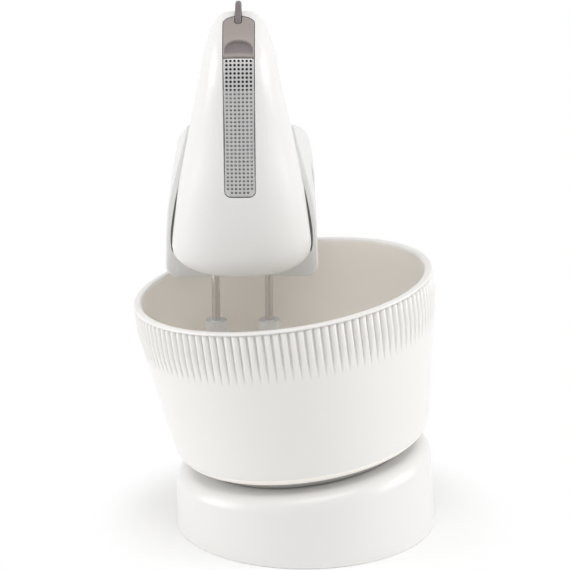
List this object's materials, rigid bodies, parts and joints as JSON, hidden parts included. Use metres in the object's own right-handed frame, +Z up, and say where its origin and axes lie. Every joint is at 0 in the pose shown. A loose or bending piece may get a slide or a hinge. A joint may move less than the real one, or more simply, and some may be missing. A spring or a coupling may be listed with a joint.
{
  "type": "stand mixer",
  "caption": "Tilting stand mixer with a hand-mixer style head, paired whisks and a leaning bowl turned by its ribbed rim.",
  "frame": {"origin": "centre of the flat underside of the round base, which is the underside of its bottom plate; the rubber feet stand 0.8 mm below it", "axes": "+X to the right seen from the nose, +Y from the nose towards the column at the rear, +Z up"},
  "size_m": [0.2134, 0.2919, 0.3844],
  "materials": {
    "white_plastic": "smooth white appliance plastic, satin gloss",
    "pale_plastic": "pale grey plastic, satin",
    "taupe_plastic": "taupe plastic, fine satin",
    "turntable_plastic": "grey plastic, satin",
    "gear_plastic": "natural moulded gear plastic",
    "frame_plastic": "black moulded plastic",
    "foot_rubber": "soft black rubber",
    "strip_metal": "fine brushed silver",
    "steel": "drawn and ground steel",
    "whisk_steel": "polished stainless wire and shafts",
    "bush_bronze": "sintered bronze",
    "core_iron": "stacked electrical steel",
    "winding_copper": "lacquered copper winding"
  },
  "bodies": {
    "stand": {"base_housing": "white_plastic", "base_plate": "white_plastic", "base_screws": "steel", "rubber_feet": "foot_rubber", "spindle_bush": "bush_bronze", "column": "white_plastic", "column_cover": "pale_plastic", "column_screws": "steel", "pinion_bushes": "bush_bronze", "hinge_pin": "steel", "tilt_spring": "steel"},
    "bowl": {"turntable": "turntable_plastic", "turntable_spindle": "steel", "spindle_clip": "steel", "bowl": "white_plastic", "bowl_gear_rim": "white_plastic"},
    "bowl_drive": {"pinion": "gear_plastic", "pinion_shaft": "steel", "lower_dog": "gear_plastic"},
    "mixer": {"arm": "pale_plastic", "nose_shell": "white_plastic", "motor_housing": "pale_plastic", "perforated_strip": "strip_metal", "speed_switch": "frame_plastic", "gearbox_frame": "frame_plastic", "motor_frame": "frame_plastic", "motor_stator": "core_iron", "motor_coils": "winding_copper", "motor_bearings": "bush_bronze", "brush_holders": "frame_plastic", "cord_inlet": "frame_plastic", "housing_screws": "steel", "catch_spring": "steel", "eject_spring": "steel"},
    "motor": {"motor_rotor": "core_iron", "commutator": "winding_copper", "motor_shaft": "steel", "worms": "steel", "motor_fan": "frame_plastic"},
    "whisk_l": {"whisk_wheel_left": "gear_plastic", "whisk_left": "whisk_steel", "whisk_shaft_left": "whisk_steel", "whisk_collar_left": "pale_plastic"},
    "whisk_r": {"whisk_wheel_right": "gear_plastic", "whisk_right": "whisk_steel", "whisk_shaft_right": "whisk_steel", "whisk_collar_right": "pale_plastic"},
    "output": {"output_wheel": "gear_plastic", "output_shaft": "steel", "upper_dog": "gear_plastic"},
    "tilt_release": {"tilt_button": "taupe_plastic"},
    "catch": {"mixer_catch": "taupe_plastic"},
    "eject": {"eject_button": "taupe_plastic", "eject_yoke": "frame_plastic"},
    "speed": {"speed_slider": "taupe_plastic"}
  },
  "joints": [
    {"name": "bowl_spin", "type": "hinge", "parent": "stand", "child": "bowl", "pos_m": [-0.0003, 0, 0.0525], "axis": [-0.1219, 0, 0.9925], "continuous": true},
    {"name": "pinion_spin", "type": "hinge", "parent": "stand", "child": "bowl_drive", "pos_m": [-0.06274, 0.10973, 0.228], "axis": [-0.1219, 0, 0.9925], "continuous": true},
    {"name": "arm_tilt", "type": "hinge", "parent": "stand", "child": "mixer", "pos_m": [-0.0439, 0.148, 0.175], "axis": [-1, 0, 0], "range_deg": [0, 50]},
    {"name": "motor_spin", "type": "hinge", "parent": "mixer", "child": "motor", "pos_m": [-0.0439, 0, 0.228], "axis": [0, 1, 0], "continuous": true},
    {"name": "whisk_left_spin", "type": "hinge", "parent": "mixer", "child": "whisk_l", "pos_m": [-0.0626, 0, 0.228], "axis": [0, 0, 1], "continuous": true},
    {"name": "whisk_right_spin", "type": "hinge", "parent": "mixer", "child": "whisk_r", "pos_m": [-0.0252, 0, 0.228], "axis": [0, 0, 1], "continuous": true},
    {"name": "output_spin", "type": "hinge", "parent": "mixer", "child": "output", "pos_m": [-0.06274, 0.10973, 0.228], "axis": [-0.1219, 0, 0.9925], "continuous": true},
    {"name": "tilt_button_press", "type": "slide", "parent": "stand", "child": "tilt_release", "axis": [-1, 0, 0], "range_m": [0, 0.004], "stiffness_N_per_m": 400, "springref_m": -0.002, "deforming": ["tilt_spring"]},
    {"name": "catch_pull", "type": "slide", "parent": "mixer", "child": "catch", "axis": [0, 1, 0], "range_m": [0, 0.006], "stiffness_N_per_m": 300, "springref_m": -0.002, "deforming": ["catch_spring"]},
    {"name": "eject_press", "type": "slide", "parent": "mixer", "child": "eject", "axis": [0, 0.4848, -0.8746], "range_m": [0, 0.003], "stiffness_N_per_m": 600, "springref_m": -0.002, "deforming": ["eject_spring"]},
    {"name": "speed_slide", "type": "slide", "parent": "mixer", "child": "speed", "axis": [0, 0.9455, -0.3256], "range_m": [0, 0.015]}
  ],
  "couplings": [
    {"joint": "pinion_spin", "follows": "bowl_spin", "ratio": -8.2857},
    {"joint": "output_spin", "follows": "bowl_spin", "ratio": -8.2857},
    {"joint": "motor_spin", "follows": "bowl_spin", "ratio": 132.57},
    {"joint": "whisk_right_spin", "follows": "bowl_spin", "ratio": 8.2857},
    {"joint": "whisk_left_spin", "follows": "bowl_spin", "ratio": -8.2857}
  ]
}
